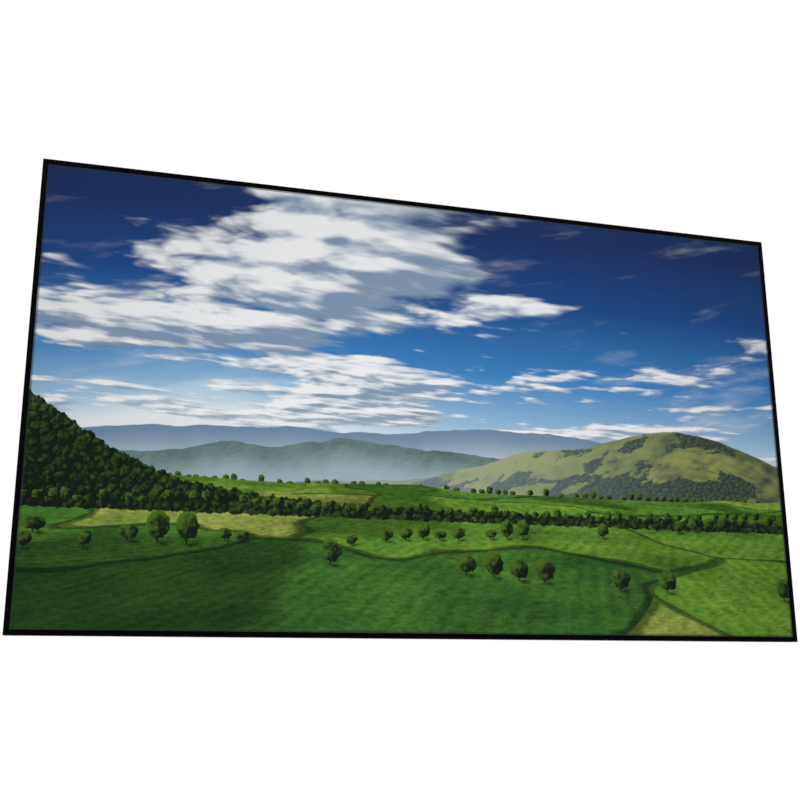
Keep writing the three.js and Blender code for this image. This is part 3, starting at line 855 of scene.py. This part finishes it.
def wire(path, radius, sides):
    """A round wire along a path: a ring of points round each point of the path, turned no more than
    the path is. The radius is one for all, or one for each point. Each ring's own axes come from the
    row axis that is most across the path. The turn that takes one ring's axes to the next is summed
    along the path, and taken off."""
    step = np.gradient(path, axis=0)
    tangent = step / np.linalg.norm(step, axis=1, keepdims=True)
    helper = np.eye(3)[np.abs(tangent).argmin(axis=1)]
    first = np.cross(tangent, helper)
    first /= np.linalg.norm(first, axis=1, keepdims=True)
    second = np.cross(tangent, first)
    axis = np.cross(tangent[:-1], tangent[1:])
    cosine = (tangent[:-1] * tangent[1:]).sum(axis=1, keepdims=True)
    carried = (
        first[:-1] * cosine
        + np.cross(axis, first[:-1])
        + axis * (axis * first[:-1]).sum(axis=1, keepdims=True) / (1 + cosine)
    )
    twist = np.arctan2((carried * second[1:]).sum(axis=1), (carried * first[1:]).sum(axis=1))
    roll = np.concatenate([[0], np.cumsum(twist)])[:, None]
    angle = roll + np.linspace(0, 2 * np.pi, sides, endpoint=False)
    ring = np.cos(angle)[..., None] * first[:, None] + np.sin(angle)[..., None] * second[:, None]
    points = (path[:, None] + np.reshape(radius, (-1, 1, 1)) * ring).reshape(-1, 3)
    index = np.arange(len(path) * sides).reshape(len(path), sides)
    after = np.roll(index, -1, axis=1)
    tube = np.stack([index[:-1], after[:-1], after[1:], index[1:]], axis=-1).reshape(-1, 4)
    caps = [index[0, ::-1].tolist(), index[-1].tolist()]
    return points, tube.tolist() + caps


ROD_SIDES = 24


def make_rods():
    """Round rods with chamfered ends, each between the ends of its CAD solid."""
    finishes = {0: glass_fibre("glass_fibre_X", "X"), 2: glass_fibre("glass_fibre_Z", "Z")}
    for name in sorted(nodes):
        if not name.startswith("tension_rod"):
            continue
        low, high = (np.array(corner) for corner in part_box(name))
        along = int(np.argmax(high - low))
        start, end = low[along], high[along]
        path = np.tile((low + high) / 2, (4, 1))
        path[:, along] = [start, start + ROD_CHAMFER, end - ROD_CHAMFER, end]
        radius = ROD_RADIUS - np.array([ROD_CHAMFER, 0, 0, ROD_CHAMFER])
        points, faces = wire(path, radius, ROD_SIDES)
        rod = name.replace("tension", "glass_fibre")
        new_piece(rod, points, faces, [finishes[along]], [name])


# A spring, and the rear edge of the frame's lip that it hooks over, as u and v of an edge
SPRING_WIRE = 1 * MM
SPRING_WIRE_SIDES = 8
SPRING_COIL = 2.6 * MM
SPRING_TURNS = 5
SPRING_COIL_START = 5.5 * MM
SPRING_COIL_LENGTH = 17 * MM
SPRING_LIFT = 0.8 * MM
SPRING_HOOK = 2.9 * MM
SPRING_HOOK_DROP = 0.8 * MM
SPRING_TAIL = 3.2 * MM
ROD_HOOK_STEPS = 24
LIP_HOOK_STEPS = 16
COIL_STEPS = 22 * SPRING_TURNS
SPRING_STEP = 0.55 * MM
_, frame_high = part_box("frame_left")
LIP_U = frame_high.x - outer_low[0]
LIP_V = frame_high.y - FRONT


def spring_path():
    """The middle of a spring's wire as points (x, u, v), with the spring at x = 0: a hook round the
    rod, a helix whose angle grows evenly with u, a hook over the frame's lip and a straight tail. It
    is cut into even steps, and a mean over five of them rounds the joints."""
    hook = ROD_RADIUS + FIT_GAP + SPRING_WIRE / 2
    hook_u = LIP_U + FIT_GAP - SPRING_HOOK + SPRING_WIRE / 2
    hook_v = LIP_V - SPRING_HOOK_DROP
    on_rod = arc(ROD_U, ROD_V, hook, 230, 90, ROD_HOOK_STEPS)
    on_lip = arc(hook_u, hook_v, SPRING_HOOK, 125, 0, LIP_HOOK_STEPS)
    turn = np.linspace(0, SPRING_TURNS, COIL_STEPS + 1)
    angle = 2 * np.pi * turn
    helix = np.stack(
        [
            SPRING_COIL * np.sin(angle),
            ROD_U + SPRING_COIL_START + SPRING_COIL_LENGTH * turn / SPRING_TURNS,
            ROD_V + SPRING_LIFT + SPRING_COIL * np.cos(angle),
        ],
        axis=1,
    )
    tail = [[0, hook_u + SPRING_HOOK, hook_v - SPRING_TAIL]]
    first_hook, last_hook = (np.insert(points, 0, 0.0, axis=1) for points in (on_rod, on_lip))
    route = np.concatenate([first_hook, helix, last_hook, tail])
    distance = np.concatenate([[0], np.cumsum(np.linalg.norm(np.diff(route, axis=0), axis=1))])
    even = np.arange(0, distance[-1], SPRING_STEP)
    route = np.stack([np.interp(even, distance, route[:, i]) for i in range(3)], axis=1)
    ends = np.concatenate([route[:1].repeat(2, axis=0), route, route[-1:].repeat(2, axis=0)])
    mean = sum(ends[i : i + len(route)] for i in range(5)) / 5
    mean[[0, -1]] = route[[0, -1]]
    return mean


def make_springs(material):
    """A spring of round wire at each CAD spring's place."""
    path = spring_path()
    for edge in EDGES:
        for name, along in zip(*springs_along(edge)):
            centre = edge.to_row(along + path[:, 0], path[:, 1], path[:, 2])
            points, faces = wire(centre, SPRING_WIRE / 2, SPRING_WIRE_SIDES)
            spring = name.replace("spring", "coil_spring")
            new_piece(spring, points, faces, [material], [name], smooth=True)


# A set screw. SCREW_SOCKET is from its axis to a flat of the socket.
SCREW_RADIUS = 2.4 * MM
SCREW_SIDES = 24
SCREW_TIP_CHAMFER = 0.7 * MM
SCREW_RIM_CHAMFER = 0.3 * MM
SCREW_SOCKET = 1.45 * MM
SCREW_SOCKET_DEPTH = 2.2 * MM
SCREW_SOCKET_BEVEL = 0.1 * MM
SCREW_SOCKET_BEVEL_DEPTH = 0.15 * MM
SCREW_PROUD = 0.5 * MM
SCREW_TIP = 0.2 * MM
SCREWS_FROM_END = (13 * MM, 45 * MM)
PLATE_HALF_WIDTH = 8.5 * MM


def grub_screw(x, z, tip, back):
    """A set screw along Y: rings of points from its tip to its rear rim, then down the hexagonal
    socket. In the socket a ring's radius is the flat's distance over the cosine of the angle from
    the flat's middle."""
    angle = np.linspace(0, 2 * np.pi, SCREW_SIDES, endpoint=False)
    hexagon = SCREW_SOCKET / np.cos(np.mod(angle, np.pi / 3) - np.pi / 6)
    rings = [
        (SCREW_RADIUS - SCREW_TIP_CHAMFER, tip),
        (SCREW_RADIUS, tip + SCREW_TIP_CHAMFER),
        (SCREW_RADIUS, back - SCREW_RIM_CHAMFER),
        (SCREW_RADIUS - SCREW_RIM_CHAMFER, back),
        (hexagon + SCREW_SOCKET_BEVEL, back),
        (hexagon, back - SCREW_SOCKET_BEVEL_DEPTH),
        (hexagon, back - SCREW_SOCKET_DEPTH),
    ]
    points = []
    for radius, y in rings:
        ring = [x + radius * np.cos(angle), np.full(SCREW_SIDES, y), z + radius * np.sin(angle)]
        points.append(np.stack(ring, axis=1))
    index = np.arange(len(rings) * SCREW_SIDES).reshape(len(rings), SCREW_SIDES)
    after = np.roll(index, -1, axis=1)
    walls = np.stack([index[:-1], index[1:], after[1:], after[:-1]], axis=-1).reshape(-1, 4)
    caps = [index[0].tolist(), index[-1, ::-1].tolist()]
    return np.concatenate(points), walls.tolist() + caps


def screw_places(name, low, high):
    """Where a joining plate's screws stand, as (x, z): two on each half of a straight splice plate,
    and two on each leg of a corner plate. They are measured from where the half or the leg ends. A
    leg runs along the outer side of the plate's box."""
    if name.startswith("splice"):
        middle = (low.z + high.z) / 2
        return [(sign * (high.x - r), middle) for r in SCREWS_FROM_END for sign in (-1, 1)]
    inner_x, outer_x = sorted((low.x, high.x), key=abs)
    inner_z, outer_z = sorted((low.z, high.z), key=abs)
    side_x, side_z = np.sign((outer_x, outer_z))
    leg_x = outer_x - side_x * PLATE_HALF_WIDTH
    leg_z = outer_z - side_z * PLATE_HALF_WIDTH
    on_level_leg = [(inner_x + side_x * r, leg_z) for r in SCREWS_FROM_END]
    return on_level_leg + [(leg_x, inner_z + side_z * r) for r in SCREWS_FROM_END]


def make_screws(material):
    """The set screws of each joining plate, as one piece for each plate."""
    for name in sorted(nodes):
        if not name.startswith(("corner_plate", "splice_plate")):
            continue
        low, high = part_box(name)
        points, faces = [], []
        for x, z in screw_places(name, low, high):
            made, quads = grub_screw(x, z, low.y - SCREW_TIP, high.y + SCREW_PROUD)
            faces += [[i + len(points) * len(made) for i in face] for face in quads]
            points.append(made)
        screws = name.replace("plate", "screws")
        new_piece(screws, np.concatenate(points), faces, [material], [])


def dress_nodes():
    """Gives each CAD node that stays its finish. The lines of an extrusion run along its box."""
    black = linear("050506"), linear("09090a")
    grey = linear("2a2a2c"), linear("363639")
    trims = {axis: anodised(f"trim_{axis}", *black, 0.45, axis) for axis in "XZ"}
    bars = {axis: anodised(f"frame_{axis}", *grey, 0.45, axis) for axis in "XZ"}
    zinc = plated("zinc_plate", linear("8b8f92"), linear("b5b9bb"), 0.28)
    finishes = {
        "corner_plate": zinc,
        "splice_plate": zinc,
        "support_bar": mill_finish(),
        "support_bar_cap": moulded_black(),
        "wall_bracket": powder_coated(),
    }
    for name, node in nodes.items():
        if node.hide_render:
            continue
        low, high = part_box(name)
        axis = "X" if high.x - low.x > high.z - low.z else "Z"
        if name.startswith("bezel_trim"):
            material = trims[axis]
        elif name.startswith("frame_"):
            material = bars[axis]
        else:
            kind = max((key for key in finishes if name.startswith(key)), key=len)
            material = finishes[kind]
        node.data.materials.clear()
        node.data.materials.append(material)


def make_stage():
    """A pale floor that fades out round the screen, a white surround for the camera and for
    reflections, and soft even light."""
    bpy.ops.mesh.primitive_circle_add(
        vertices=96, radius=FLOOR_RADIUS, fill_type="NGON", location=(0, 0, FLOOR_HEIGHT)
    )
    floor = bpy.context.object
    floor.name = "floor"
    shader = Shader("floor")
    x, y, _ = shader.axes(shader.place())
    cover = (x * x + y * y).step(FLOOR_RADIUS**2, FLOOR_FADE_FROM**2)
    pale = shader.finish(Base_Color=linear("efefee"), Roughness=0.9, Alpha=cover)
    floor.data.materials.append(pale)

    studio = Shader("studio", world=True)
    camera = studio.node("ShaderNodeLightPath", output="Is Camera Ray")
    glossy = studio.other_output(camera, "Is Glossy Ray")
    through = studio.other_output(camera, "Is Transmission Ray")
    seen = camera.most(glossy).most(through)
    strength = seen * (1 - WORLD_LIGHT) + WORLD_LIGHT
    white = {"Color": (1, 1, 1, 1), "Strength": strength}
    bpy.context.scene.world = studio.end(studio.node("ShaderNodeBackground", {}, white))

    for name, place, size, power in LAMPS:
        light = bpy.data.lights.new(name, "AREA")
        light.size = size
        light.energy = power
        lamp = bpy.data.objects.new(name, light)
        bpy.context.scene.collection.objects.link(lamp)
        lamp.location = place
        lamp.rotation_euler = Vector(place).to_track_quat("Z", "Y").to_euler()


def make_camera():
    """The photograph's camera. Its shift puts the lens's axis on the photograph's centre pixel."""
    camera = bpy.data.cameras.new("photograph_camera")
    camera.sensor_width = SENSOR_MM
    camera.lens = SENSOR_MM * CAMERA_FOCAL_PIXELS / PHOTO_PIXELS
    camera.shift_x = (PHOTO_PIXELS / 2 - CAMERA_CENTRE_PIXEL[0]) / PHOTO_PIXELS
    camera.shift_y = (CAMERA_CENTRE_PIXEL[1] - PHOTO_PIXELS / 2) / PHOTO_PIXELS
    holder = bpy.data.objects.new("photograph_camera", camera)
    bpy.context.scene.collection.objects.link(holder)
    x, y, z = CAMERA_FROM_FRONT
    holder.location = (x, y + FRONT, z)
    holder.rotation_euler = np.radians(CAMERA_TURN_DEG)
    bpy.context.scene.camera = holder
    bpy.context.scene.view_settings.view_transform = "Standard"


make_sheet()
make_rods()
make_springs(plated("zinc_wire", linear("9a9ea2"), linear("c4c8cb"), 0.22))
make_screws(plated("screw_steel", linear("3a3a3c"), linear("58585b"), 0.3))
dress_nodes()
make_stage()
make_camera()
